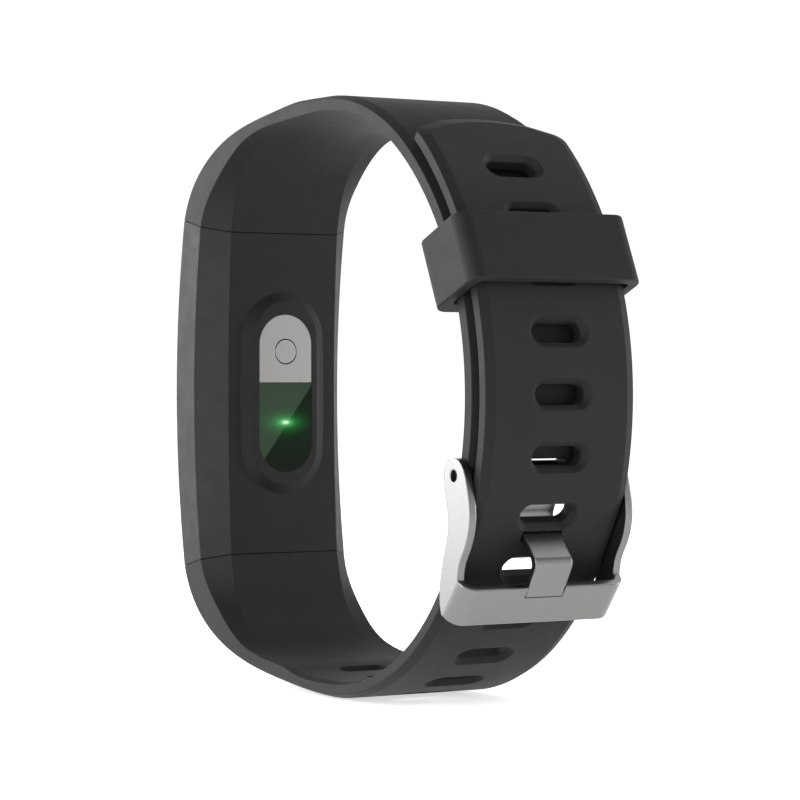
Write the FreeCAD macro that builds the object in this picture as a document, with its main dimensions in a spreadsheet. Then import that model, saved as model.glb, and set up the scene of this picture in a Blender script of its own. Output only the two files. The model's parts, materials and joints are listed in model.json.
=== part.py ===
import FreeCAD, Part
import math
import os

from FreeCAD import Placement, Rotation, Vector

# Wrist-worn fitness tracker band, closed on its buckle.
# Frame: origin in the middle of the wrist opening, Y along the wrist, +Z up,
# tracker case on the -X side, buckle on the +X side. Millimetres.

DIMENSIONS = {
    # case
    "case_half_width": 9.42, "crown_half_width": 6.9, "case_depth_rim": 28.33,
    "case_front_rim": 32.46, "case_front_crown": 34.2, "case_back_flat": 24.9,
    "mound_height": 0.9, "window_length": 17.75, "window_width": 6.8,
    "pad_length": 7.66, "contact_diameter": 2.66, "contact_height": 4.7, "window_thickness": 0.95,
    "cavity_half_width": 7.9, "cavity_half_length": 17.4,
    "lens_half_width": 6.8, "lens_half_length": 16.4, "lens_back": 32.45,
    # inside the case
    "board_length": 34.0, "board_width": 15.0, "board_thickness": 0.6,
    "battery_length": 21.5, "battery_width": 11.4, "battery_thickness": 2.2,
    "display_length": 23.0, "display_width": 12.2, "display_thickness": 0.9,
    "sensor_board_length": 19.0, "sensor_board_width": 11.0,
    "chip_height": 0.8, "motor_radius": 1.6,
    "screw_radius": 0.5, "screw_head_radius": 0.9,
    # straps
    "strap_half_width": 8.9, "loop_centre": 5.75, "inner_radius": 31.5,
    "strap_thickness": 1.6, "tail_radius": 35.5,
    "tongue_width": 12.0, "tongue_length": 5.0, "tongue_thickness": 2.2,
    "hole_length": 5.9, "hole_width": 2.1, "hole_pitch": 6.25, "countersink": 0.6,
    # keeper and buckle
    "keeper_length": 7.3, "keeper_wall": 1.1, "keeper_gap": 0.35, "keeper_angle": 23.8,
    "keeper_inner_wall": 2.0, "keeper_inner_gap": 0.85, "keeper_side_wall": 1.25,
    "pivot_x": 25.2, "pivot_z": -7.8, "ear_radius": 1.75, "ear_bore": 0.6,
    "frame_half_width": 9.85, "frame_metal": 0.8, "crossbar_height": 4.6,
    "frame_rim": 0.2,
    "prong_width": 4.4, "prong_metal": 0.6, "tube_radius": 0.75, "tube_bore": 0.6,
    "tube_half_length": 8.95, "pin_radius": 0.53, "pin_end": 9.4, "pin_head_radius": 0.57,
    "spring_wire": 0.2, "spring_half_length": 4.5,
}

doc = FreeCAD.newDocument("fitness_band")
sheet = doc.addObject("Spreadsheet::Sheet", "Sizes")
for row, (alias, value) in enumerate(DIMENSIONS.items(), start=1):
    sheet.set(f"A{row}", alias)
    sheet.set(f"B{row}", str(value))
    sheet.setAlias(f"B{row}", alias)
doc.recompute()

PARTS = []
CENTRE = (-sheet.loop_centre, 0.0)
PIVOT = (sheet.pivot_x, sheet.pivot_z)


def size(name):
    return float(getattr(sheet, name))


def part_done(obj, label):
    """Marks a document object as one sub-part of the band."""
    obj.Label = label
    PARTS.append(obj)
    return obj


# ---------------------------------------------------------------- helpers

def polar(centre, radius, degrees):
    a = math.radians(degrees)
    return (centre[0] + radius * math.cos(a), centre[1] + radius * math.sin(a))


def seg(p, q):
    return Part.LineSegment(Vector(*p, 0), Vector(*q, 0))


def arc3(p, mid, q):
    return Part.Arc(Vector(*p, 0), Vector(*mid, 0), Vector(*q, 0))


def arc_about(centre, radius, start, end):
    """Arc given by its centre and its start and end angles in degrees."""
    return arc3(polar(centre, radius, start), polar(centre, radius, (start + end) / 2),
                polar(centre, radius, end))


def loop(points):
    return [seg(points[i], points[(i + 1) % len(points)]) for i in range(len(points))]


def rectangle(x0, y0, x1, y1):
    return loop([(x0, y0), (x1, y0), (x1, y1), (x0, y1)])


def rounded_rectangle(half_x, half_y, radius, shift=0.0):
    """Rectangle with round corners, its centre moved by shift along the first axis."""
    cx, cy = half_x - radius, half_y - radius
    edges = []
    for k, (sx, sy) in enumerate(((1, 1), (-1, 1), (-1, -1), (1, -1))):
        edges.append(arc_about((shift + sx * cx, sy * cy), radius, 90 * k, 90 * k + 90))
    sides = ((-cx, half_y, cx, half_y), (-half_x, -cy, -half_x, cy),
             (cx, -half_y, -cx, -half_y), (half_x, cy, half_x, -cy))
    for x0, y0, x1, y1 in sides:
        edges.append(seg((shift + x1, y1), (shift + x0, y0)))
    return edges


def stadium(length, width, centre=(0.0, 0.0)):
    """Slot outline with its long axis along the sketch's second axis."""
    r = width / 2
    half = length / 2 - r
    x, y = centre
    return [arc_about((x, y + half), r, 0, 180), seg((x - r, y + half), (x - r, y - half)),
            arc_about((x, y - half), r, 180, 360), seg((x + r, y - half), (x + r, y + half))]


def circle(centre, radius):
    return [Part.Circle(Vector(*centre, 0), Vector(0, 0, 1), radius)]


def new_body(name):
    return doc.addObject("PartDesign::Body", name + "_body")


def plane_of(body, role):
    return next(f for f in body.Origin.OriginFeatures if f.Role == role)


def sketch_on(body, role, edges, offset=0.0):
    """Sketch on one of the body's origin planes, moved along its normal by offset."""
    sk = body.newObject("Sketcher::SketchObject", body.Name + "_sketch")
    sk.AttachmentSupport = [(plane_of(body, role), "")]
    sk.MapMode = "FlatFace"
    sk.AttachmentOffset = Placement(Vector(0, 0, offset), Rotation())
    for edge in edges:
        sk.addGeometry(edge, False)
    doc.recompute()
    return sk


def pad(body, sk, length, expression=None, midplane=False, reverse=False):
    feature = body.newObject("PartDesign::Pad", body.Name + "_pad")
    feature.Profile = sk
    feature.Length = length
    if expression:
        feature.setExpression("Length", expression)
    if midplane:
        feature.SideType = "Symmetric"
    feature.Reversed = reverse
    doc.recompute()
    return feature


def pocket(body, sk, length=None, expression=None, midplane=False, reverse=False):
    """Cuts the sketch out of the body and insists that something was removed."""
    before = body.Shape.Volume
    feature = body.newObject("PartDesign::Pocket", body.Name + "_pocket")
    feature.Profile = sk
    if length is None:
        feature.Type = "ThroughAll"
    else:
        feature.Length = length
    if expression:
        feature.setExpression("Length", expression)
    if midplane:
        feature.SideType = "Symmetric"
    feature.Reversed = reverse
    doc.recompute()
    if not body.Shape.Volume < before - 1e-6:
        raise RuntimeError(f"{feature.Name} removed nothing")
    return feature


def loft(body, sketches):
    """Solid through the sketches, with straight lines from each to the next."""
    feature = body.newObject("PartDesign::AdditiveLoft", body.Name + "_loft")
    feature.Profile = sketches[0]
    feature.Sections = sketches[1:]
    feature.Ruled = True
    doc.recompute()
    return feature


def round_off(body, name, references, radius):
    """Rounds the named edges, or the edges round the named faces, of the body so far."""
    last = body.Tip
    feature = body.newObject("PartDesign::Fillet", name)
    feature.Base = (last, references)
    feature.Radius = radius
    doc.recompute()
    return feature


# Sketches on XZ_Plane use (x, z); its normal points to -Y.
# Sketches on YZ_Plane use (y, z); its normal points to +X.

def block(label, x0, x1, y0, y1, z0, z1, length_alias=None, width_alias=None, height_alias=None):
    """Plain rectangular piece between the given corners, its sizes read from the sheet."""
    box = doc.addObject("Part::Box", label + "_box")
    box.Length, box.Width, box.Height = x1 - x0, y1 - y0, z1 - z0
    for prop, alias in (("Length", length_alias), ("Width", width_alias),
                        ("Height", height_alias)):
        if alias:
            box.setExpression(prop, f"Sizes.{alias}")
    box.Placement = Placement(Vector(x0, y0, z0), Rotation())
    return box


def rod(name, radius, y0, y1, centre, radius_alias=None):
    """Cylinder along the wrist axis."""
    cyl = doc.addObject("Part::Cylinder", name)
    cyl.Radius = radius
    cyl.Height = y1 - y0
    if radius_alias:
        cyl.setExpression("Radius", f"Sizes.{radius_alias}")
    cyl.Placement = Placement(Vector(centre[0], y0, centre[1]), Rotation(Vector(1, 0, 0), -90))
    return cyl


def cut(label, base, tool):
    feature = doc.addObject("Part::Cut", label)
    feature.Base, feature.Tool = base, tool
    return feature


def fuse(label, objects):
    feature = doc.addObject("Part::MultiFuse", label)
    feature.Shapes = objects
    return feature


# ---------------------------------------------------------------- case

SPLIT_TILT = 0.238          # the strap joints lean by this slope, square to the outline
SPLIT_BACK = (24.25, 17.99)  # inner end of the joint line, mirrored in x


JOINT_GAP = 0.07             # fine groove between the case and each strap


def split_point(x, gap=0.0):
    """Point of the upper strap joint line at depth x (x is negative)."""
    return (x, SPLIT_BACK[1] - (x + SPLIT_BACK[0]) * SPLIT_TILT + gap)


def case_section(front_mid, front_end, back_mid, back_end):
    """Side profile of the case between its two strap joints."""
    a, b = split_point(-front_end), split_point(-back_end)
    return [arc3((a[0], -a[1]), (-front_mid, 0), a), seg(a, b),
            arc3(b, (-back_mid, 0), (b[0], -b[1])), seg((b[0], -b[1]), (a[0], -a[1]))]


def case_block(name):
    """Case envelope: flat crown and back in the middle, bevelled towards both rims."""
    body = new_body(name)
    rim = (size("case_front_rim"), 30.6, size("case_depth_rim"), 26.8)
    core = (size("case_front_crown"), 32.2, size("case_back_flat"), SPLIT_BACK[0])
    stations = ((size("case_half_width"), rim), (size("crown_half_width"), core),
                (-size("crown_half_width"), core), (-size("case_half_width"), rim))
    sketches = [sketch_on(body, "XZ_Plane", case_section(*profile), y)
                for y, profile in stations]
    sketches[0].setExpression("AttachmentOffset.Base.z", "Sizes.case_half_width")
    sketches[1].setExpression("AttachmentOffset.Base.z", "Sizes.crown_half_width")
    loft(body, sketches)
    return body


CAVITY_CORNER = 1.0          # corner radius of the bay that holds the main board


def make_housing():
    body = case_block("housing")
    # raised island round the sensor, with sloping flanks
    back = -size("case_back_flat")
    foot = sketch_on(body, "YZ_Plane", stadium(23.6, 11.0), back - 0.02)
    top = sketch_on(body, "YZ_Plane", stadium(20.7, 8.1), back + size("mound_height"))
    loft(body, [foot, top])
    # deep pocket for the battery, then the wide bay that the bezel closes
    deep = sketch_on(body, "YZ_Plane", rectangle(-6.2, -15.0, 6.2, 15.0), back - 1.0)
    pocket(body, deep, 20.0)
    wide = sketch_on(body, "YZ_Plane", rounded_rectangle(
        size("cavity_half_width"), size("cavity_half_length"), CAVITY_CORNER), -29.3)
    pocket(body, wide, 20.0)
    # stepped window through the island
    seat = sketch_on(body, "YZ_Plane", stadium(
        size("window_length") + 0.04, size("window_width") + 0.04), back + size("mound_height"))
    pocket(body, seat, 1.0, "Sizes.window_thickness + 0.05")
    light = sketch_on(body, "YZ_Plane", stadium(16.5, 5.6), back + size("mound_height"))
    pocket(body, light, 3.0)
    # pilot holes for the four board screws
    holes = []
    for y in (-6.6, 6.6):
        for z in (-16.0, 16.0):
            holes += circle((y, z), size("screw_radius"))
    pocket(body, sketch_on(body, "YZ_Plane", holes, -29.3), 1.6, reverse=True)
    part_done(body, "housing")


def make_bezel():
    body = case_block("front_bezel")
    half_w, half_l = size("cavity_half_width") - 0.05, size("cavity_half_length") - 0.05
    # keeps only the slab that fills the mouth of the housing
    behind = sketch_on(body, "YZ_Plane", rectangle(-15, -25, 15, 25), -31.45)
    pocket(body, behind, 20.0, reverse=True)
    ring = rectangle(-15, -25, 15, 25) + rounded_rectangle(half_w, half_l, CAVITY_CORNER - 0.05)
    pocket(body, sketch_on(body, "YZ_Plane", ring, -31.0), 20.0)
    window = sketch_on(body, "YZ_Plane", rounded_rectangle(6.3, 14.8, 1.5), -31.0)
    pocket(body, window, 20.0)
    seat = sketch_on(body, "YZ_Plane", rounded_rectangle(
        size("lens_half_width") + 0.05, size("lens_half_length") + 0.05, 2.55), -32.3)
    pocket(body, seat, 20.0)
    part_done(body, "front_bezel")


def make_lens():
    body = case_block("front_lens")
    behind = sketch_on(body, "YZ_Plane", rectangle(-15, -25, 15, 25), -size("lens_back"))
    behind.setExpression("AttachmentOffset.Base.z", "-Sizes.lens_back")
    pocket(body, behind, 20.0, reverse=True)
    ring = rectangle(-15, -25, 15, 25) + rounded_rectangle(
        size("lens_half_width"), size("lens_half_length"), 2.5)
    pocket(body, sketch_on(body, "YZ_Plane", ring, -31.0), 20.0)
    part_done(body, "front_lens")


def plate(label, edges, x0, thickness, expression=None):
    """Flat piece cut to an outline in the (y, z) plane, from x0 towards the screen."""
    body = new_body(label)
    sk = sketch_on(body, "YZ_Plane", edges, x0)
    pad(body, sk, thickness, expression, reverse=True)
    return body


def make_sensor():
    top = -size("case_back_flat") + size("mound_height") - 0.05
    r = size("window_width") / 2
    half = size("window_length") / 2
    seam = half - size("pad_length")
    pad_edges = [arc_about((0, half - r), r, 0, 180), seg((-r, half - r), (-r, seam)),
                 seg((-r, seam), (r, seam)), seg((r, seam), (r, half - r))]
    contact = (0, size("contact_height"))
    hole = size("contact_diameter") / 2 + 0.12
    part_done(plate("electrode_pad", pad_edges + circle(contact, hole), top, 0.95,
                    "Sizes.window_thickness"), "electrode_pad")
    part_done(plate("contact_button", circle(contact, size("contact_diameter") / 2), top, 0.95,
                    "Sizes.window_thickness"), "contact_button")
    seam -= 0.05
    lens_edges = [arc_about((0, -half + r), r, 180, 360), seg((r, -half + r), (r, seam)),
                  seg((r, seam), (-r, seam)), seg((-r, seam), (-r, -half + r))]
    part_done(plate("sensor_window", lens_edges, top, 0.95, "Sizes.window_thickness"),
              "sensor_window")
    # heart-rate board behind the window, with its light source, receiver and light wall
    board_front = -26.95
    board = block("sensor_board", board_front - 0.5, board_front, -5.5, 5.5, -10.0, 9.0,
                  None, "sensor_board_width", "sensor_board_length")
    part_done(board, "sensor_board")
    leds = [block(f"led{k}", board_front, board_front + 0.55, y - 0.4, y + 0.4, -3.8, -2.8)
            for k, y in enumerate((-0.7, 0.7))]
    part_done(fuse("led_pair", leds), "green_leds")
    part_done(block("photodiode", board_front, board_front + 0.5, -1.2, 1.2, -7.9, -5.9),
              "photodiode")
    wells = rectangle(-1.5, -4.3, 1.5, -2.2) + rectangle(-1.5, -8.2, 1.5, -5.5)
    frame = loop([(-2.6, -8.4), (2.6, -8.4), (2.6, 0.6), (-2.6, 0.6)])
    part_done(plate("light_baffle", frame + wells, board_front + 1.0, 0.95), "light_baffle")
    pins = []
    for k, z in enumerate((2.9, contact[1])):
        pin = doc.addObject("Part::Cylinder", f"pogo{k}")
        pin.Radius = 0.45
        pin.Height = -size("case_back_flat") - 0.1 - board_front
        pin.Placement = Placement(Vector(board_front, 0, z), Rotation(Vector(0, 1, 0), 90))
        pins.append(pin)
    part_done(fuse("pogo_pins", pins), "contact_pins")


def make_electronics():
    part_done(block("battery_tape", -27.55, -27.45, -5.0, 5.0, -6.0, 8.5), "battery_tape")
    battery = doc.addObject("Part::Box", "battery_box")
    battery.Placement = Placement(Vector(-29.75, -5.7, -7.0), Rotation())
    for prop, alias in (("Length", "battery_thickness"), ("Width", "battery_width"),
                        ("Height", "battery_length")):
        battery.setExpression(prop, f"Sizes.{alias}")
    doc.recompute()
    rounded = doc.addObject("Part::Fillet", "battery_cell")
    rounded.Base = battery
    rounded.Edges = [(k + 1, 0.6, 0.6) for k, e in enumerate(battery.Shape.Edges)
                     if abs(e.Length - size("battery_length")) < 1e-6]
    part_done(rounded, "battery_cell")
    tray = (rectangle(-6.1, -14.9, 6.1, 14.9) + rectangle(-5.75, -7.05, 5.75, 14.55)
            + rectangle(-5.75, -14.55, 5.75, -7.5))
    part_done(plate("inner_frame", tray, -27.6, 2.2, "Sizes.battery_thickness"), "inner_frame")
    board = block("main_board", -30.5, -29.9, -7.5, 7.5, -17.0, 17.0,
                  "board_thickness", "board_width", "board_length")
    holes = []
    for k, (y, z) in enumerate(((-6.6, -16.0), (-6.6, 16.0), (6.6, -16.0), (6.6, 16.0))):
        hole = doc.addObject("Part::Cylinder", f"board_hole{k}")
        hole.setExpression("Radius", "Sizes.screw_radius + 0.05")
        hole.Height = 2.0
        hole.Placement = Placement(Vector(-31.2, y, z), Rotation(Vector(0, 1, 0), 90))
        holes.append(hole)
    part_done(cut("drilled_board", board, fuse("board_holes", holes)), "main_board")
    back = -30.5
    chips = (("processor_chip", 5.0, 5.0, 0.0, 6.0), ("motion_sensor_chip", 2.5, 2.5, 3.4, -2.0),
             ("radio_antenna", 7.0, 2.0, 0.0, 14.6), ("charger_chip", 3.0, 3.0, -3.2, -2.4))
    for label, wide, tall, y, z in chips:
        chip = block(label, back - size("chip_height"), back, y - wide / 2, y + wide / 2,
                     z - tall / 2, z + tall / 2, "chip_height")
        part_done(chip, label)
    part_done(block("display_panel", -32.4, -31.5, -6.1, 6.1, -11.5, 11.5,
                    "display_thickness", "display_width", "display_length"), "display_panel")
    part_done(block("touch_electrode", -32.44, -32.24, -2.5, 2.5, -14.4, -12.2),
              "touch_electrode")
    # ribbon from the lower edge of the display, round and back to the board
    body = new_body("display_flex")
    t, mid_x, r = 0.15, -31.28, 0.7
    outer, inner = r + t / 2, r - t / 2
    ribbon = [seg((mid_x - outer, -11.5), (mid_x - outer, -12.6)),
              arc_about((mid_x, -12.6), outer, 180, 360),
              seg((mid_x + outer, -12.6), (mid_x + outer, -10.0)),
              seg((mid_x + outer, -10.0), (mid_x + inner, -10.0)),
              seg((mid_x + inner, -10.0), (mid_x + inner, -12.6)),
              arc_about((mid_x, -12.6), inner, 360, 180),
              seg((mid_x - inner, -12.6), (mid_x - inner, -11.5)),
              seg((mid_x - inner, -11.5), (mid_x - outer, -11.5))]
    pad(body, sketch_on(body, "XZ_Plane", ribbon), 6.0, midplane=True)
    part_done(body, "display_flex")
    ring = (rounded_rectangle(size("lens_half_width"), size("lens_half_length"), 2.5)
            + rounded_rectangle(6.35, 14.9, 1.5))
    part_done(plate("lens_gasket", ring, -32.3, 0.15), "lens_gasket")
    # screws: thread in the shelf of the housing, head on the board
    screws = []
    for k, (y, z) in enumerate(((-6.6, -16.0), (-6.6, 16.0), (6.6, -16.0), (6.6, 16.0))):
        for tag, radius, x0, length in (("shank", "screw_radius", -30.5, 2.6),
                                        ("head", "screw_head_radius", -30.9, 0.4)):
            cyl = doc.addObject("Part::Cylinder", f"screw_{tag}{k}")
            cyl.setExpression("Radius", f"Sizes.{radius}")
            cyl.Height = length
            cyl.Placement = Placement(Vector(x0, y, z), Rotation(Vector(0, 1, 0), 90))
            screws.append(cyl)
    part_done(fuse("screw_set", screws), "board_screws")


MOTOR = (-28.1, -12.2)   # axis of the vibration motor, in (x, z)


def make_motor():
    can = rod("motor_shell", 1.6, -4.6, 1.4, MOTOR, "motor_radius")
    bore = rod("motor_bore", 0.3, -1.0, 2.0, MOTOR)
    part_done(cut("motor_with_bore", can, bore), "motor_can")
    part_done(rod("motor_axle", 0.25, -0.6, 4.9, MOTOR), "motor_shaft")
    # half-round weight pressed on the shaft
    body = new_body("motor_weight")
    x, z = MOTOR
    half = [arc_about(MOTOR, 1.35, 180, 360), seg((x + 1.35, z), (x + 0.6, z)),
            arc_about(MOTOR, 0.6, 0, 180), seg((x - 0.6, z), (x - 1.35, z))]
    sk = sketch_on(body, "XZ_Plane", half + circle(MOTOR, 0.25), -4.7)
    pad(body, sk, 2.9)
    part_done(body, "motor_weight")


# ---------------------------------------------------------------- straps

JOIN_ANGLE = 50.7         # where the top arc meets the buckle-side arc
TOP_RADIUS = 24.0         # inner radius of the top arc
SHOULDER = polar(CENTRE, size("inner_radius") - TOP_RADIUS, JOIN_ANGLE)   # its centre
TOP = (SHOULDER[0], SHOULDER[1] + TOP_RADIUS)   # highest inner point of the opening
BOTTOM_ARC = ((-0.13, -4.3), 27.0)   # centre and reference radius of the lower right arc
CHAMFER_STATION = 0.595  # share of the bevel, from rim to crown, where the edge chamfer ends
BEND_ANGLE, LINE_ANGLE = -14.5, -30.0
TAIL_TIP_ANGLE = 54.0
STRAP_STATIONS = (0.0, CHAMFER_STATION, 1.0)


def mix(p, q, f):
    return tuple(a + (b - a) * f for a, b in zip(p, q))


def spline(points, start, end):
    """Smooth curve through the points with given end directions."""
    curve = Part.BSplineCurve()
    curve.interpolate(Points=[Vector(*p, 0) for p in points],
                      InitialTangent=Vector(*start, 0), FinalTangent=Vector(*end, 0))
    return curve


def outer_shoulder(f, top):
    """Outer curve from the case joint up to the top, f from rim (0) to crown (1)."""
    rise = min(f / CHAMFER_STATION, 1.0) * 0.6
    a = mix(split_point(-30.6, JOINT_GAP), split_point(-32.2, JOINT_GAP), f)
    b = mix((-26.2, 25.65), (-26.9, 26.3), f)
    c = (-19.45, 28.75 + rise * 0.8)
    d = (-10.0, 30.45 + rise)
    return [a, b, c, d, (top[0], top[1] + rise)]


def inner_shoulder(f):
    """Inner curve from the case joint up to the top, f from rim (0) to flat (1)."""
    a = mix(split_point(-26.8, JOINT_GAP), split_point(-24.25, JOINT_GAP), f)
    b = mix((-23.4, 23.95), (-22.3, 23.75), f)
    c = mix((-17.8, 27.75), (-17.6, 27.75), f)
    return [a, b, c, (-9.6, 29.3), TOP]


def flipped(points):
    return [(x, -z) for x, z in points]


def upper_section(f):
    """Side profile of the short strap: case joint, shoulder, then down to the buckle."""
    rise = min(f / CHAMFER_STATION, 1.0) * 0.6
    outside = size("strap_thickness") - 0.6 + rise
    reach = size("inner_radius") - TOP_RADIUS
    outer_radius = size("inner_radius") + outside
    top_out = (TOP[0], TOP[1] + size("strap_thickness") - 0.6)
    up = outer_shoulder(f, top_out)
    down = inner_shoulder(f)
    end = -13.5
    outer_end, inner_end = polar(CENTRE, outer_radius, end), polar(CENTRE, size("inner_radius"), end)
    return [spline(up, (0.26, 0.966), (1, 0)),
            arc_about(SHOULDER, outer_radius - reach, 90, JOIN_ANGLE),
            arc_about(CENTRE, outer_radius, JOIN_ANGLE, end),
            seg(outer_end, inner_end),
            arc_about(CENTRE, size("inner_radius"), end, JOIN_ANGLE),
            arc_about(SHOULDER, TOP_RADIUS, JOIN_ANGLE, 90),
            spline(down[::-1], (-1, 0), (-0.2, -0.98)),
            seg(down[0], up[0])]


def tail_offsets(f):
    """Distances of the outer and inner faces from the reference edge of the long strap."""
    rise = min(f / CHAMFER_STATION, 1.0)
    return 0.5 * rise - 0.1 * (1 - rise), -0.75 - 0.45 * rise


BEND_RADIUS = 8.0


def tail_path(offset, reverse=False):
    """Edges of the long strap from its tip down and round to the bottom, at one offset."""
    edge_radius = size("tail_radius") - 0.5
    bend = polar(CENTRE, edge_radius - BEND_RADIUS, BEND_ANGLE)
    top_end = polar(bend, BEND_RADIUS + offset, LINE_ANGLE)
    low_end = polar(BOTTOM_ARC[0], BOTTOM_ARC[1] + offset, LINE_ANGLE)
    spans = [(CENTRE, edge_radius + offset, TAIL_TIP_ANGLE, BEND_ANGLE),
             (bend, BEND_RADIUS + offset, BEND_ANGLE, LINE_ANGLE),
             (top_end, low_end),
             (BOTTOM_ARC[0], BOTTOM_ARC[1] + offset, LINE_ANGLE, -90)]
    edges = []
    for span in reversed(spans) if reverse else spans:
        if len(span) == 2:
            edges.append(seg(*(span[::-1] if reverse else span)))
        else:
            centre, radius, a, b = span
            edges.append(arc_about(centre, radius, *((b, a) if reverse else (a, b))))
    return edges


def lower_section(f):
    """Side profile of the long strap: tip, tail, buckle bend, bottom, case joint."""
    out, inn = tail_offsets(f)
    centre, radius = BOTTOM_ARC
    up = flipped(outer_shoulder(f, (centre[0], 0.0)))
    up[-1] = (centre[0], centre[1] - radius - out)
    down = flipped(inner_shoulder(f))
    down[-1] = (centre[0], centre[1] - radius - inn)
    edge_radius = size("tail_radius") - 0.5
    tip_out = polar(CENTRE, edge_radius + out, TAIL_TIP_ANGLE)
    tip_in = polar(CENTRE, edge_radius + inn, TAIL_TIP_ANGLE)
    return (tail_path(out) + [spline(up[::-1], (-1, 0), (-0.26, 0.966)), seg(up[0], down[0]),
                              spline(down, (0.2, -0.98), (1, 0))]
            + tail_path(inn, reverse=True) + [seg(tip_in, tip_out)])


def strap_blank(name, section):
    """Strap before its holes: full side profile, edges bevelled, sides waisted."""
    body = new_body(name)
    rim, crown = size("case_half_width"), size("crown_half_width")
    widths = [rim + (crown - rim) * f for f in STRAP_STATIONS]
    stations = list(zip(widths, STRAP_STATIONS))
    stations += [(-w, f) for w, f in stations[::-1]]
    sketches = [sketch_on(body, "XZ_Plane", section(f), w) for w, f in stations]
    sketches[0].setExpression("AttachmentOffset.Base.z", "Sizes.case_half_width")
    loft(body, sketches)
    # the sides draw in from the case width to the strap width, seen along the depth
    narrow = size("strap_half_width")
    for side in (1, -1):
        for tip in (1, -1):
            waist = [(side * (rim + 0.001), tip * 19.0), (side * narrow, tip * 29.3),
                     (side * narrow, tip * 34.0), (side * 12.0, tip * 34.0),
                     (side * 12.0, tip * 19.0)]
            if (name == "upper_strap") != (tip == 1):
                continue
            sk = sketch_on(body, "YZ_Plane", loop(waist), 0.0)
            pocket(body, sk, 40.0)
        flank = rectangle(0.0, -40.0, 60.0, 40.0)
        sk = sketch_on(body, "XZ_Plane", flank, side * narrow)
        pocket(body, sk, 5.0, reverse=(side == 1))
    return body


def tongue(label, sign, grow=0.0):
    """Key on the end of the case that plugs into a strap; grow gives the strap's socket."""
    box = doc.addObject("Part::Box", label + "_key")
    wide = size("tongue_width") + 2 * grow
    thick = size("tongue_thickness") + 2 * grow
    length = size("tongue_length") + grow
    box.setExpression("Width", f"Sizes.tongue_width + {2 * grow}")
    box.setExpression("Length", f"Sizes.tongue_thickness + {2 * grow}")
    box.setExpression("Height", f"Sizes.tongue_length + {grow}")
    root = split_point(-27.2)
    lean = math.degrees(math.atan(SPLIT_TILT))
    if sign > 0:
        turn = Rotation(Vector(0, 1, 0), lean)
        base = Vector(root[0], 0, root[1])
        corner = turn.multVec(Vector(-thick / 2, -wide / 2, 0))
    else:
        turn = Rotation(Vector(0, 1, 0), -lean)
        base = Vector(root[0], 0, -root[1])
        corner = turn.multVec(Vector(-thick / 2, -wide / 2, -length))
    box.Placement = Placement(base + corner, turn)
    return box


LAST_HOLE = ((-7.6, -31.33), -97.5)   # past the end of the lower arc, under the shoulder


def tail_frames():
    """Centre and outward angle of each hole, walking down the outer face of the tail."""
    outer = size("tail_radius")
    base = outer - 0.5
    bend = polar(CENTRE, base - BEND_RADIUS, BEND_ANGLE)
    pitch = size("hole_pitch")
    first = 40.6
    line_top = polar(bend, BEND_RADIUS + 0.5, LINE_ANGLE)
    line_end = polar(BOTTOM_ARC[0], BOTTOM_ARC[1] + 0.5, LINE_ANGLE)
    straight = math.dist(line_top, line_end)
    spans = ((CENTRE, outer, first - BEND_ANGLE), (bend, BEND_RADIUS + 0.5, BEND_ANGLE - LINE_ANGLE),
             (None, straight, None), (BOTTOM_ARC[0], BOTTOM_ARC[1] + 0.5, 64.0))
    frames = []
    travel = 0.0
    for _ in range(13):
        left, angle = travel, first
        for centre, radius, sweep in spans:
            if centre is None:
                if left <= radius:
                    frames.append((mix(line_top, line_end, left / radius), LINE_ANGLE))
                    break
                left -= radius
                continue
            turn = math.degrees(left / radius)
            if turn <= sweep:
                frames.append((polar(centre, radius, angle - turn), angle - turn))
                break
            left -= math.radians(sweep) * radius
            angle -= sweep
        travel += pitch
    frames.append(LAST_HOLE)
    return frames


def slot_tool():
    """One adjusting hole: straight slot with a flared mouth on the outer side."""
    length, width, sink = size("hole_length"), size("hole_width"), size("countersink")

    def outline(l, w, x):
        r = w / 2
        half = l / 2 - r
        arc_a = Part.Arc(Vector(x, half, -r), Vector(x, half + r, 0), Vector(x, half, r))
        arc_b = Part.Arc(Vector(x, -half, r), Vector(x, -half - r, 0), Vector(x, -half, -r))
        return Part.Wire([arc_a.toShape(), Part.LineSegment(arc_a.EndPoint, arc_b.StartPoint).toShape(),
                          arc_b.toShape(),
                          Part.LineSegment(arc_b.EndPoint, arc_a.StartPoint).toShape()])

    shaft = Part.Face(outline(length, width, -3.0)).extrude(Vector(4.0, 0, 0))
    mouth = Part.makeLoft([outline(length, width, -sink),
                           outline(length + 2 * sink, width + 2 * sink, 0.02),
                           outline(length + 2 * sink, width + 2 * sink, 0.5)], True, True)
    return shaft.fuse(mouth)


PRONG_KNEE, PRONG_ELBOW = (24.45, -12.15), (28.2, -16.45)   # bends of the prong
PRONG_PLAY = 0.2         # room round the strip in its slit
PRONG_LIFT = 0.32        # room on the side that the strip swings to
SLIT_REACH = 4.0


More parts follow.
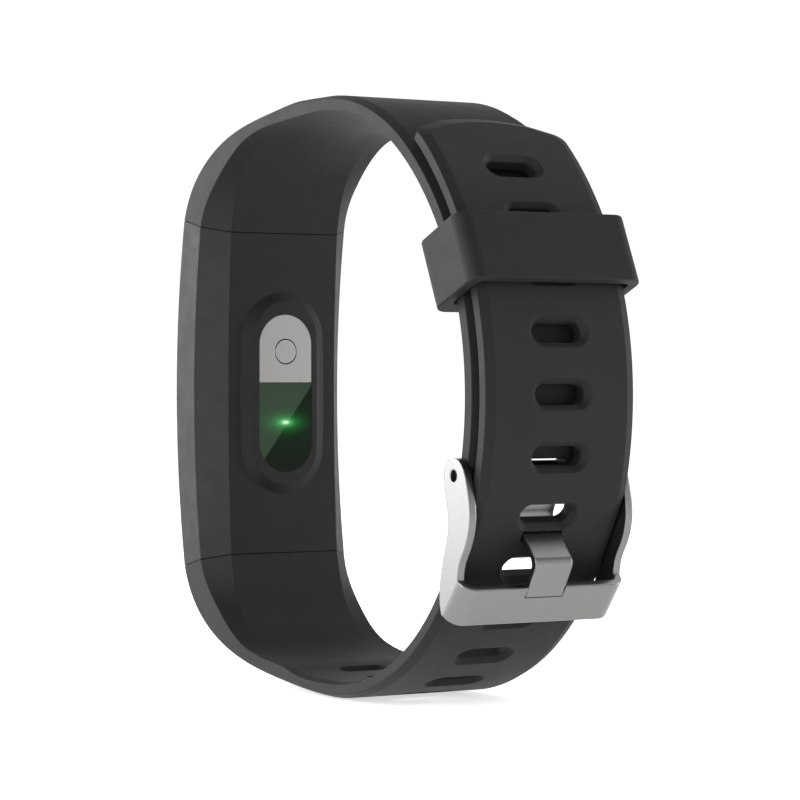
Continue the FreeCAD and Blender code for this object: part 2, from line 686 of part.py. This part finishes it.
def make_hole_cutters(frames):
    """All the adjusting holes and the prong's slit as one cutting shape."""
    tools = []
    for (x, z), angle in frames:
        tool = slot_tool()
        tool.Placement = Placement(Vector(x, 0, z), Rotation(Vector(0, 1, 0), -angle))
        tools.append(tool)
    # slanted slit just above one hole, where the prong's strip comes through the strap
    along = Vector(PRONG_ELBOW[0] - PRONG_KNEE[0], 0, PRONG_ELBOW[1] - PRONG_KNEE[1]).normalize()
    outwards = Vector(-along.z, 0, along.x)
    above = outwards * (size("prong_metal") / 2 + PRONG_LIFT)
    below = outwards * (size("prong_metal") / 2 + PRONG_PLAY)
    side = Vector(0, size("prong_width") / 2 + PRONG_PLAY, 0)
    knee = Vector(PRONG_KNEE[0], 0, PRONG_KNEE[1]) - side
    start, end = knee - along, knee + along * SLIT_REACH
    outline = [start + above, end + above, end - below, start - below]
    tools.append(Part.Face(Part.makePolygon(outline + outline[:1])).extrude(side * 2))
    cutters = doc.addObject("Part::Feature", "hole_cutters")
    cutters.Shape = Part.makeCompound(tools)
    return cutters


TIP_SHOULDER, TIP_CORNER = (5.4, -0.75), (8.0, -2.1)   # points of the tip's outline
TIP_BEVEL = 1.5           # width of the bevel round the tip, as deep as the bevel of the sides


def tip_outline(inset):
    """Everything beyond the tip of the tail, the tip's own curve moved in by inset."""
    wide, deep, low = 14.0, 8.0, -5.2
    edge = size("strap_half_width") + 0.1 - inset
    x1, y1 = TIP_SHOULDER[0] - inset * 0.3, TIP_SHOULDER[1] - inset
    x2, y2 = TIP_CORNER[0] - inset * 0.75, TIP_CORNER[1] - inset * 0.85
    return [arc3((-x1, y1), (0.0, -inset), (x1, y1)), seg((x1, y1), (x2, y2)),
            arc3((x2, y2), (edge - 0.22, y2 - 0.75), (edge, y2 - 1.9)),
            seg((edge, y2 - 1.9), (edge, low - 3.0)), seg((edge, low - 3.0), (wide, low - 3.0)),
            seg((wide, low - 3.0), (wide, deep)), seg((wide, deep), (-wide, deep)),
            seg((-wide, deep), (-wide, low - 3.0)), seg((-wide, low - 3.0), (-edge, low - 3.0)),
            seg((-edge, low - 3.0), (-edge, y2 - 1.9)),
            arc3((-edge, y2 - 1.9), (-edge + 0.22, y2 - 0.75), (-x2, y2)), seg((-x2, y2), (-x1, y1))]


def make_tip_cutter():
    """Shapes the end of the tail: a soft rounded trapezoid with a bevel on its outer edge."""
    body = new_body("tip_cutter")
    radius = size("tail_radius") - 0.9
    upright = sketch_on(body, "YZ_Plane", tip_outline(0.0))
    pad(body, upright, 8.0, midplane=True)
    bevel = new_body("tip_bevel")
    start, end = 0.25, 1.45
    steep = TIP_BEVEL / 0.6
    loft(bevel, [sketch_on(bevel, "YZ_Plane", tip_outline(0.0), start),
                 sketch_on(bevel, "YZ_Plane", tip_outline((end - start) * steep), end)])
    x, z = polar(CENTRE, radius, TAIL_TIP_ANGLE)
    for piece in (body, bevel):
        piece.Placement = Placement(Vector(x, 0, z), Rotation(Vector(0, 1, 0), -TAIL_TIP_ANGLE))
    return fuse("tip_tools", [body, bevel])


SLOT_ABOVE, SLOT_BELOW = 1.6, 4.0   # reach of the prong's slot above and below the spring bar


def make_straps():
    for sign, name in ((1, "upper_tongue"), (-1, "lower_tongue")):
        part_done(tongue(name, sign), name)
    # short strap: ends in a barrel round the spring bar, slotted for the prong
    blank = strap_blank("upper_strap", upper_section)
    end = size("strap_half_width")
    barrel = rod("strap_barrel", 1.45, -end, end, PIVOT)
    joined = fuse("upper_strap_joined", [blank, barrel])
    bore = rod("barrel_bore", 0.8, -12, 12, PIVOT)
    half = size("prong_width") / 2 + 0.3
    slot = doc.addObject("Part::Box", "prong_slot")
    slot.Length, slot.Height = 6.0, SLOT_ABOVE + SLOT_BELOW
    slot.setExpression("Width", "Sizes.prong_width + 0.6")
    slot.Placement = Placement(Vector(PIVOT[0] - 3.0, -half, PIVOT[1] - SLOT_BELOW), Rotation())
    tools = fuse("upper_strap_tools", [bore, slot, tongue("upper_socket", 1, 0.05)])
    part_done(cut("upper_strap_cut", joined, tools), "upper_strap")
    # long strap with its row of adjusting holes
    blank = strap_blank("lower_strap", lower_section)
    frames = tail_frames()
    tools = fuse("lower_strap_tools",
                 [make_hole_cutters(frames), tongue("lower_socket", -1, 0.05)])
    holed = cut("lower_strap_holed", blank, tools)
    part_done(cut("lower_strap_cut", holed, make_tip_cutter()), "lower_strap")


def make_keeper():
    """Free loop round both straps, drawn square to the strap at its own angle."""
    body = new_body("keeper_loop")
    inside = size("inner_radius") - size("keeper_inner_gap")
    outside = size("tail_radius") + size("keeper_gap")
    width = size("strap_half_width") + 0.15
    centre_r = (inside + outside) / 2
    half_r = (outside - inside) / 2
    shift = (size("keeper_wall") - size("keeper_inner_wall")) / 2
    outer_half = half_r + (size("keeper_wall") + size("keeper_inner_wall")) / 2
    outline = rounded_rectangle(outer_half, width + size("keeper_side_wall"), 1.6, shift)
    outline += rounded_rectangle(half_r, width, 0.5)
    sk = sketch_on(body, "XY_Plane", outline)
    pad(body, sk, size("keeper_length"), "Sizes.keeper_length", midplane=True)
    faces = [f"Face{k + 1}" for k, f in enumerate(body.Shape.Faces)
             if abs(abs(f.CenterOfMass.z) - size("keeper_length") / 2) < 1e-6]
    round_off(body, "keeper_edges", faces, 0.18)
    x, z = polar(CENTRE, centre_r, size("keeper_angle"))
    body.Placement = Placement(Vector(x, 0, z),
                               Rotation(Vector(0, 1, 0), -size("keeper_angle")))
    part_done(body, "keeper_loop")


# ---------------------------------------------------------------- buckle

FACE_TOP, FACE_LOW = (27.2, -19.0), (24.43, -22.67)   # outer face of the crossbar
CROSSBAR_TURN = math.degrees(math.atan2(FACE_TOP[0] - FACE_LOW[0], FACE_TOP[1] - FACE_LOW[1]))
CORNER = 1.7             # outer radius where the side plates turn into the crossbar


def along_face(point, outward, down):
    """Steps from a point by distances normal to and along the crossbar's face."""
    a = math.radians(CROSSBAR_TURN)
    return (point[0] + outward * math.cos(a) - down * math.sin(a),
            point[1] - outward * math.sin(a) - down * math.cos(a))


def round_picked(body, name, picked, radius):
    """Rounds the edges of the body that pass the test."""
    edges = [f"Edge{k + 1}" for k, edge in enumerate(body.Shape.Edges) if picked(edge)]
    round_off(body, name, edges, radius)


def make_buckle_frame():
    height, rim = size("crossbar_height"), size("frame_rim")
    metal, half = size("frame_metal"), size("frame_half_width")
    leg_top, leg_low = along_face(FACE_TOP, -CORNER, 0), along_face(FACE_TOP, -CORNER, height)
    ear_r = size("ear_radius")
    ear_in = polar(PIVOT, ear_r, 190)
    ear_out = polar(PIVOT, ear_r, 40)
    outer = spline([ear_out, (27.55, -9.0), (28.0, -12.0), (27.1, -14.9), leg_top],
                   (0.66, -0.75), (-0.1, -1))
    inner = spline([leg_low, (22.75, -18.6), (24.2, -13.0), ear_in], (-0.45, 0.9), (-0.17, 0.98))
    legs = []
    for side in (1, -1):
        body = new_body("buckle_leg")
        profile = [outer, seg(leg_top, leg_low), inner,
                   arc3(ear_in, polar(PIVOT, ear_r, 115), ear_out)]
        sk = sketch_on(body, "XZ_Plane", profile + circle(PIVOT, size("ear_bore")),
                       half if side > 0 else -half + metal)
        pad(body, sk, metal, "Sizes.frame_metal", reverse=True)
        legs.append(body)
    # crossbar with its two corner bends, drawn across the face and pressed down its height
    cross = new_body("buckle_crossbar")
    flat = half - CORNER
    inside = CORNER - metal
    outline = [seg((-flat, CORNER), (flat, CORNER)), arc_about((flat, 0), CORNER, 90, 0),
               seg((flat + CORNER, 0), (flat + inside, 0)), arc_about((flat, 0), inside, 0, 90),
               seg((flat, inside), (-flat, inside)), arc_about((-flat, 0), inside, 90, 180),
               seg((-flat - inside, 0), (-flat - CORNER, 0)), arc_about((-flat, 0), CORNER, 180, 90)]
    sk = sketch_on(cross, "XY_Plane", outline)
    pad(cross, sk, height, "Sizes.crossbar_height", reverse=True)
    # top and bottom edges of the outer face, which lies further out than this share of the corner
    round_picked(cross, "crossbar_rim", lambda edge: edge.CenterOfMass.y > CORNER * 0.55
                 and abs(edge.CenterOfMass.z + height / 2) > height / 2 - 1e-6, rim)
    # sketch axes: first across the wrist, second out of the face, pressed downwards
    turn = Rotation(Vector(0, 1, 0), CROSSBAR_TURN).multiply(Rotation(Vector(0, 0, 1), -90))
    cross.Placement = Placement(Vector(leg_top[0], 0, leg_top[1]), turn)
    joined = fuse("buckle_joined", legs + [cross])
    # seat for the prong's tip in the top edge of the crossbar
    seat = doc.addObject("Part::Box", "prong_seat")
    seat.Length, seat.Height = 3.0, 3.0
    seat.setExpression("Width", "Sizes.prong_width + 0.2")
    corner = along_face(FACE_TOP, -0.72, 1.25)
    seat.Placement = Placement(Vector(corner[0], -size("prong_width") / 2 - 0.1, corner[1]),
                               Rotation(Vector(0, 1, 0), CROSSBAR_TURN))
    part_done(cut("buckle_notched", joined, seat), "buckle_frame")


def make_prong():
    """Rolled eye round the spring bar and a flat strip bent out through the strap."""
    metal = size("prong_metal")
    eye_in = 0.82
    eye_mid = eye_in + metal / 2
    knee, elbow, tip = PRONG_KNEE, PRONG_ELBOW, along_face(FACE_TOP, -0.27, 1.15)
    # tangent from the eye to the knee
    gap = math.dist(PIVOT, knee)
    aim = math.degrees(math.atan2(knee[1] - PIVOT[1], knee[0] - PIVOT[0]))
    lift = aim + math.degrees(math.acos(eye_mid / gap))
    start = polar(PIVOT, eye_mid, lift)
    route = [Vector(p[0], 0, p[1]) for p in (start, knee, elbow, tip)]
    # thickness is given by two offset copies of the route
    sides = []
    for distance in (metal / 2, -metal / 2):
        line = []
        for k, point in enumerate(route):
            before = (route[k] - route[k - 1]).normalize() if k else None
            after = (route[k + 1] - route[k]).normalize() if k + 1 < len(route) else None
            before, after = before or after, after or before
            n1 = Vector(-before.z, 0, before.x)
            n2 = Vector(-after.z, 0, after.x)
            n = (n1 + n2).normalize()
            line.append(point + n * (distance / n.dot(n1)))
        sides.append([(p.x, p.z) for p in line])
    body = new_body("buckle_prong")
    outline = loop(sides[0] + sides[1][::-1])
    pad(body, sketch_on(body, "XZ_Plane", outline), size("prong_width"),
        "Sizes.prong_width", midplane=True)
    bends = []
    for k, edge in enumerate(body.Shape.Edges):
        if abs(edge.Length - size("prong_width")) > 1e-6:
            continue
        middle = edge.CenterOfMass
        for bend in (knee, elbow):
            if math.dist((middle.x, middle.z), bend) < metal:
                bends.append(f"Edge{k + 1}")
    round_off(body, "prong_bends", bends, 1.1)
    half = size("prong_width") / 2
    eye = rod("prong_eye", eye_in + metal, -half, half, PIVOT)
    bore = rod("prong_bore", eye_in, -half - 1, half + 1, PIVOT)
    part_done(cut("prong_rolled", fuse("prong_joined", [body, eye]), bore), "buckle_prong")


def make_spring_bar():
    reach = size("tube_half_length")
    tube = rod("bar_tube", 0.75, -reach, reach, PIVOT, "tube_radius")
    bore = rod("bar_bore", 0.6, -12, 12, PIVOT, "tube_bore")
    part_done(cut("bar_hollow", tube, bore), "spring_bar_tube")
    end = size("pin_end")
    for side, label in ((-1, "spring_bar_pin_near"), (1, "spring_bar_pin_far")):
        head = (5.5, 6.3) if side > 0 else (-6.3, -5.5)
        shank = (6.2, end) if side > 0 else (-end, -6.2)
        pieces = [rod(f"{label}_head", 0.57, *head, PIVOT, "pin_head_radius"),
                  rod(f"{label}_shank", 0.53, *shank, PIVOT, "pin_radius")]
        part_done(fuse(f"{label}_turned", pieces), label)
    half, wire = size("spring_half_length"), size("spring_wire")
    turns = 9
    coil = 0.42
    helix = Part.makeHelix(2 * half / turns, 2 * half, coil)
    section = Part.Wire(Part.makeCircle(wire / 2, Vector(coil, 0, 0), Vector(0, 1, 0.5)))
    spring = doc.addObject("Part::Feature", "bar_spring")
    spring.Shape = Part.Wire(helix).makePipeShell([section], True, True)
    spring.Placement = Placement(Vector(PIVOT[0], -half, PIVOT[1]), Rotation(Vector(1, 0, 0), -90))
    part_done(spring, "spring_bar_spring")


def check_and_export():
    doc.recompute()
    for obj in doc.Objects:
        if "Invalid" in obj.State or "Error" in obj.State:
            raise RuntimeError(f"{obj.Name} ({obj.Label}) failed: {obj.State}")
    os.makedirs("parts", exist_ok=True)
    for obj in PARTS:
        shape = obj.Shape
        if shape.isNull() or not shape.isValid() or shape.Volume <= 0:
            raise RuntimeError(f"{obj.Label} has no valid shape")
        shape.exportStep(f"parts/{obj.Label}.step")
        print(f"{obj.Label:24s} {shape.Volume:10.3f} mm3  {len(shape.Solids)} solid")


make_housing()
make_bezel()
make_lens()
make_sensor()
make_electronics()
make_motor()
make_straps()
make_keeper()
make_buckle_frame()
make_prong()
make_spring_bar()
check_and_export()
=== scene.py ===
import json
import math

import bmesh
import bpy
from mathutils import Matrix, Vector


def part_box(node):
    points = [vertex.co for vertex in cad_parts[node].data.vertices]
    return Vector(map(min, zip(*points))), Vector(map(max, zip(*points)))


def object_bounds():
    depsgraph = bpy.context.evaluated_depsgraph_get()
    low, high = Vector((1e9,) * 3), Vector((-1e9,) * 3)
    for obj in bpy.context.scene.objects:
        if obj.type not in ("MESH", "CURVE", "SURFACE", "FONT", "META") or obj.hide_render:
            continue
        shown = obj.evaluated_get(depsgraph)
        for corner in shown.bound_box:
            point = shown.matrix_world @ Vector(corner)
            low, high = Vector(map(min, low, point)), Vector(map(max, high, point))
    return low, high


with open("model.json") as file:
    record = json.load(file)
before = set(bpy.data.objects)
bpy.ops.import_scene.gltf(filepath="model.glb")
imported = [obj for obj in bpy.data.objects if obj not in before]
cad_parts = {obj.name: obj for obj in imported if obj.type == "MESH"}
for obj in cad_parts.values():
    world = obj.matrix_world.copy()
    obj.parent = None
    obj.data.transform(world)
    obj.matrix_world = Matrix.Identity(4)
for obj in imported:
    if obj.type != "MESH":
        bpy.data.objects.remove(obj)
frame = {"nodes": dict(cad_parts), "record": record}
nodes = frame["nodes"]
cad_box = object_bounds()

MM = 0.001


# ---------------------------------------------------------------- materials

class Paint:
    """Small helper that builds one node material and leaves its plain values on the shader."""

    def __init__(self, name, color, roughness=0.5, metallic=0.0, **sockets):
        self.material = bpy.data.materials.new(name)
        self.material.use_nodes = True
        self.tree = self.material.node_tree
        self.shader = self.tree.nodes["Principled BSDF"]
        self.shader.inputs["Base Color"].default_value = (*color, 1.0)
        self.shader.inputs["Roughness"].default_value = roughness
        self.shader.inputs["Metallic"].default_value = metallic
        for socket, value in sockets.items():
            self.shader.inputs[socket.replace("_", " ")].default_value = value

    def node(self, kind, **values):
        made = self.tree.nodes.new("ShaderNode" + kind)
        for key, value in values.items():
            made.inputs[key.replace("_", " ")].default_value = value
        return made

    def link(self, output, target):
        self.tree.links.new(output, target)

    def place(self, scale=(1.0, 1.0, 1.0)):
        """Object coordinates, in metres, stretched by scale."""
        coords = self.tree.nodes.new("ShaderNodeTexCoord")
        mapping = self.tree.nodes.new("ShaderNodeMapping")
        mapping.inputs["Scale"].default_value = scale
        self.link(coords.outputs["Object"], mapping.inputs["Vector"])
        return mapping.outputs["Vector"]

    def noise(self, scale, detail=2.0, rough=0.5, stretch=(1.0, 1.0, 1.0)):
        made = self.node("TexNoise", Scale=scale, Detail=detail, Roughness=rough)
        self.link(self.place(stretch), made.inputs["Vector"])
        return made.outputs["Fac"]

    def ramp(self, source, stops):
        """Colour ramp through (position, colour) stops."""
        made = self.tree.nodes.new("ShaderNodeValToRGB")
        elements = made.color_ramp.elements
        while len(elements) < len(stops):
            elements.new(0.5)
        for element, (position, color) in zip(elements, stops):
            element.position = position
            element.color = (*color, 1.0)
        self.link(source, made.inputs["Fac"])
        return made.outputs["Color"]

    def spread(self, source, low, high):
        """Maps the middle of a noise to the range low to high."""
        made = self.tree.nodes.new("ShaderNodeMapRange")
        made.inputs["From Min"].default_value = 0.3
        made.inputs["From Max"].default_value = 0.7
        made.inputs["To Min"].default_value = low
        made.inputs["To Max"].default_value = high
        self.link(source, made.inputs["Value"])
        return made.outputs["Result"]

    def color_from(self, output):
        self.link(output, self.shader.inputs["Base Color"])

    def roughness_from(self, output):
        self.link(output, self.shader.inputs["Roughness"])

    def bump(self, source, height, strength=1.0, edge=0.0):
        """Relief of the given height in metres, over edges softened to the radius edge."""
        made = self.node("Bump", Strength=strength, Distance=height)
        self.link(source, made.inputs["Height"])
        if edge:
            soft = self.node("Bevel", Radius=edge)
            soft.samples = 6
            self.link(soft.outputs["Normal"], made.inputs["Normal"])
        self.link(made.outputs["Normal"], self.shader.inputs["Normal"])

    def math(self, operation, a, b=None):
        """Math node on outputs or plain numbers."""
        made = self.tree.nodes.new("ShaderNodeMath")
        made.operation = operation
        for socket, value in zip(made.inputs, (a, b)):
            if value is None:
                continue
            if isinstance(value, (int, float)):
                socket.default_value = value
            else:
                self.link(value, socket)
        return made.outputs["Value"]


def grey(value, warm=0.0):
    return (value * (1 + warm), value, value * (1 - warm))


def silicone(name, tone, roughness):
    """Matte silicone: dusty bloom on top of a fine moulded grain."""
    paint = Paint(name, grey(tone), roughness, Sheen_Weight=0.03, Sheen_Roughness=0.45,
                  Specular_IOR_Level=0.17)
    cloud = paint.noise(160.0, 3.0)
    paint.color_from(paint.ramp(cloud, [(0.35, grey(tone * 0.95)), (0.65, grey(tone * 1.05, 0.01))]))
    paint.roughness_from(paint.spread(paint.noise(420.0, 3.0), roughness - 0.03, roughness + 0.03))
    paint.bump(paint.noise(14000.0, 2.0, 0.6), 0.000006, 0.35, 0.16 * MM)
    return paint.material


def moulded(name, tone, roughness, grain=9000.0, depth=0.000005):
    """Fine matte plastic moulding."""
    paint = Paint(name, grey(tone), roughness, Specular_IOR_Level=0.17)
    cloud = paint.noise(220.0, 2.0)
    paint.color_from(paint.ramp(cloud, [(0.35, grey(tone * 0.93)), (0.65, grey(tone * 1.07))]))
    paint.roughness_from(paint.spread(paint.noise(600.0, 2.0), roughness - 0.04, roughness + 0.04))
    paint.bump(paint.noise(grain, 2.0, 0.6), depth, 0.35, 0.14 * MM)
    return paint.material


def brushed(name, tone, roughness, stretch=(6000.0, 90.0, 6000.0), warm=0.012, depth=0.0000025):
    """Satin steel with fine brush lines along the wrist axis."""
    paint = Paint(name, grey(tone, warm), roughness, 1.0)
    lines = paint.noise(1.0, 3.0, 0.6, stretch)
    paint.roughness_from(paint.spread(lines, roughness - 0.05, roughness + 0.07))
    patches = paint.noise(120.0, 2.0)
    paint.color_from(paint.ramp(patches, [(0.35, grey(tone * 0.96, warm)), (0.65, grey(tone * 1.03, warm))]))
    paint.bump(lines, depth, 0.4, 0.14 * MM)
    return paint.material


def blasted(name, tone, roughness, warm=0.02, edge=0.1):
    """Bead-blasted steel, its edges softened over the given width in millimetres."""
    paint = Paint(name, grey(tone, warm), roughness, 1.0)
    grain = paint.noise(9000.0, 2.0, 0.6)
    paint.roughness_from(paint.spread(grain, roughness - 0.04, roughness + 0.06))
    paint.bump(grain, 0.000002, 0.3, edge * MM)
    return paint.material


def sensor_window(name):
    """Dark green window: a painted reflection, lighter above a slanted edge, and a painted glow of the light
    source.
    """
    paint = Paint(name, (0.01, 0.02, 0.011), 0.1, Specular_IOR_Level=0.1)
    coords = paint.tree.nodes.new("ShaderNodeTexCoord")
    split = paint.tree.nodes.new("ShaderNodeSeparateXYZ")
    paint.link(coords.outputs["Object"], split.inputs["Vector"])
    across, up = split.outputs["Y"], split.outputs["Z"]
    low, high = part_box("green_leds")
    centre_y, centre_z = (low.y + high.y) / 2, (low.z + high.z) / 2
    # slanted edge of a painted reflection, lighter above it, through a point just below the light source
    slope, drop, sharpness = 1.35, 0.4 * MM, 8000.0
    side = paint.math("SUBTRACT", paint.math("SUBTRACT", up, centre_z - drop),
                      paint.math("MULTIPLY", paint.math("SUBTRACT", across, centre_y), slope))
    # painted reflection: dark below the slanted edge, lighter above it
    painted_reflection = paint.ramp(paint.math("ADD", paint.math("MULTIPLY", side, sharpness), 0.5),
                      [(0.0, (0.002, 0.006, 0.002)), (1.0, (0.03, 0.05, 0.031))])
    paint.color_from(painted_reflection)
    # painted glow of the light source, emitted by the window itself, falling off from the source and drawn
    # out across the window
    glow_width, glow_height = 0.8 * MM, 0.36 * MM
    wide = paint.math("DIVIDE", paint.math("SUBTRACT", across, centre_y), glow_width)
    tall = paint.math("DIVIDE", paint.math("SUBTRACT", up, centre_z), glow_height)
    far = paint.math("ADD", paint.math("MULTIPLY", wide, wide), paint.math("MULTIPLY", tall, tall))
    glow = paint.math("DIVIDE", 1.0, paint.math("ADD", far, 1.0))
    paint.link(paint.ramp(glow, [(0.0, (0.0, 0.0, 0.0)), (0.05, (0.0, 0.012, 0.002)),
                                 (0.3, (0.01, 0.17, 0.03)), (0.65, (0.1, 0.42, 0.14)),
                                 (0.88, (0.5, 0.9, 0.55))]),
               paint.shader.inputs["Emission Color"])
    paint.shader.inputs["Emission Strength"].default_value = 1.0
    return paint.material


def dark_lens(name, color, depth_color):
    """Dark tinted window with a clear coat and faint smears."""
    paint = Paint(name, color, 0.12, Coat_Weight=0.2, Coat_Roughness=0.03, Specular_IOR_Level=0.3)
    smear = paint.noise(300.0, 3.0)
    paint.color_from(paint.ramp(smear, [(0.35, color), (0.7, depth_color)]))
    paint.roughness_from(paint.spread(paint.noise(700.0, 3.0), 0.08, 0.16))
    return paint.material


def solder_mask(name):
    """Green circuit board with faint copper tracks under the mask."""
    paint = Paint(name, (0.015, 0.1, 0.045), 0.35, Coat_Weight=0.3, Coat_Roughness=0.2)
    tracks = paint.node("TexBrick", Scale=900.0, Mortar_Size=0.03)
    paint.link(paint.place(), tracks.inputs["Vector"])
    tracks.inputs["Color1"].default_value = (0.012, 0.085, 0.04, 1)
    tracks.inputs["Color2"].default_value = (0.016, 0.11, 0.05, 1)
    tracks.inputs["Mortar"].default_value = (0.03, 0.2, 0.09, 1)
    paint.color_from(tracks.outputs["Color"])
    return paint.material


def gold(name):
    paint = Paint(name, (0.83, 0.6, 0.25), 0.25, 1.0)
    paint.roughness_from(paint.spread(paint.noise(3000.0), 0.2, 0.32))
    return paint.material


def foil(name):
    """Creased aluminium laminate of the cell."""
    paint = Paint(name, grey(0.6), 0.3, 1.0)
    crease = paint.noise(500.0, 4.0, 0.6)
    paint.roughness_from(paint.spread(crease, 0.22, 0.4))
    paint.bump(crease, 0.00004, 0.4)
    return paint.material


def lamp(name, color, strength):
    """Clear package of a light source that glows."""
    paint = Paint(name, color, 0.3, Emission_Strength=strength)
    paint.shader.inputs["Emission Color"].default_value = (*color, 1.0)
    paint.roughness_from(paint.spread(paint.noise(2500.0), 0.2, 0.4))
    return paint.material


def film(name):
    """Amber polyimide ribbon."""
    paint = Paint(name, (0.4, 0.17, 0.04), 0.25)
    lines = paint.noise(1.0, 2.0, 0.5, (400.0, 9000.0, 400.0))
    paint.color_from(paint.ramp(lines, [(0.45, (0.42, 0.18, 0.04)), (0.6, (0.25, 0.09, 0.02))]))
    return paint.material


MATERIALS = {
    "silicone": silicone("silicone", 0.012, 0.6),
    "case_plastic": moulded("case_plastic", 0.011, 0.5),
    "inner_plastic": moulded("inner_plastic", 0.06, 0.5),
    "screen_glass": dark_lens("screen_glass", (0.006, 0.006, 0.007), (0.009, 0.009, 0.01)),
    "sensor_glass": sensor_window("sensor_glass"),
    "steel": blasted("steel", 0.21, 0.3, 0.015, 0.22),
    # near-black and matte, like blackened pins, and also painted shade so the ear bores they sit in read as
    # deep dark holes
    "black_steel": moulded("black_steel", 0.006, 0.5),
    "electrode": blasted("electrode", 0.3, 0.42),
    "display": dark_lens("display", (0.008, 0.008, 0.01), (0.012, 0.012, 0.015)),
    "board": solder_mask("board"),
    "chip": moulded("chip", 0.025, 0.45, 12000.0),
    "led": lamp("led", (0.1, 1.0, 0.3), 2.0),
    "gold": gold("gold"),
    "cell": foil("cell"),
    "adhesive": moulded("adhesive", 0.04, 0.8, 6000.0, 0.00001),
    "flex": film("flex"),
    "tungsten": brushed("tungsten", 0.3, 0.4, (3000.0, 3000.0, 3000.0)),
}

for part in frame["record"]["subparts"]:
    piece = nodes[part["node"]]
    piece.data.materials.clear()
    piece.data.materials.append(MATERIALS[part["material_slot"]])


# ---------------------------------------------------------------- camera, floor, light

AZIMUTH, ELEVATION = math.radians(57.5), math.radians(0.5)
CAMERA_DISTANCE = 325.5 * MM
AIM = Vector((0, 0, -0.6 * MM))
FOCAL = 137.7

back = Vector((math.sin(AZIMUTH) * math.cos(ELEVATION), -math.cos(AZIMUTH) * math.cos(ELEVATION),
               math.sin(ELEVATION)))
camera_data = bpy.data.cameras.new("camera")
camera_data.lens = FOCAL
camera_data.sensor_width = 36.0
camera_data.clip_start = 0.01
camera = bpy.data.objects.new("camera", camera_data)
bpy.context.scene.collection.objects.link(camera)
camera.location = AIM + back * CAMERA_DISTANCE
camera.rotation_euler = back.to_track_quat("Z", "Y").to_euler()
bpy.context.scene.camera = camera


def area_light(name, place, target, width, height, power):
    data = bpy.data.lights.new(name, "AREA")
    data.shape = "RECTANGLE"
    data.size, data.size_y = width, height
    data.energy = power
    light = bpy.data.objects.new(name, data)
    bpy.context.scene.collection.objects.link(light)
    light.location = place
    light.rotation_euler = (Vector(place) - Vector(target)).to_track_quat("Z", "Y").to_euler()
    return light


def make_floor():
    low = cad_box[0][2]
    mesh = bpy.data.meshes.new("floor")
    shape = bmesh.new()
    bmesh.ops.create_grid(shape, x_segments=8, y_segments=8, size=4.0)
    shape.to_mesh(mesh)
    shape.free()
    floor = bpy.data.objects.new("floor", mesh)
    floor.location.z = low - 0.0002
    bpy.context.scene.collection.objects.link(floor)
    paint = Paint("floor", (0.98, 0.98, 0.98), 0.9, Specular_IOR_Level=0.1, Emission_Strength=0.62)
    paint.shader.inputs["Emission Color"].default_value = (1, 1, 1, 1)
    mesh.materials.append(paint.material)


def make_world():
    """White all round, dimmer overhead."""
    world = bpy.data.worlds.new("studio")
    world.use_nodes = True
    tree = world.node_tree
    coords = tree.nodes.new("ShaderNodeTexCoord")
    split = tree.nodes.new("ShaderNodeSeparateXYZ")
    shade = tree.nodes.new("ShaderNodeValToRGB")
    tree.links.new(coords.outputs["Generated"], split.inputs["Vector"])
    tree.links.new(split.outputs["Z"], shade.inputs["Fac"])
    horizon, zenith = shade.color_ramp.elements
    horizon.position, horizon.color = HORIZON_END, (1, 1, 1, 1)
    zenith.position, zenith.color = ZENITH_START, (*grey(ZENITH_TONE), 1)
    background = tree.nodes["Background"]
    tree.links.new(shade.outputs["Color"], background.inputs["Color"])
    background.inputs["Strength"].default_value = WORLD_STRENGTH
    bpy.context.scene.world = world


HORIZON_END, ZENITH_START, ZENITH_TONE = 0.2, 0.7, 0.3   # heights are the sine of the elevation
WORLD_STRENGTH = 1.06
CENTRE = Vector((0, 0, 0))

make_floor()
area_light("key_left", Vector((0.1, -0.5, 0.12)), CENTRE, 0.3, 0.3, 1.5)
area_light("side_left", Vector((-0.42, -0.34, 0.1)), CENTRE, 0.5, 0.5, 3.9)
area_light("side_right", Vector((0.18, 0.5, 0.05)), CENTRE, 0.2, 0.3, 1.2)
area_light("overhead", Vector((0.06, 0.27, 0.42)), CENTRE, 0.25, 0.25, 0.4)
make_world()
bpy.context.scene.view_settings.view_transform = "Standard"
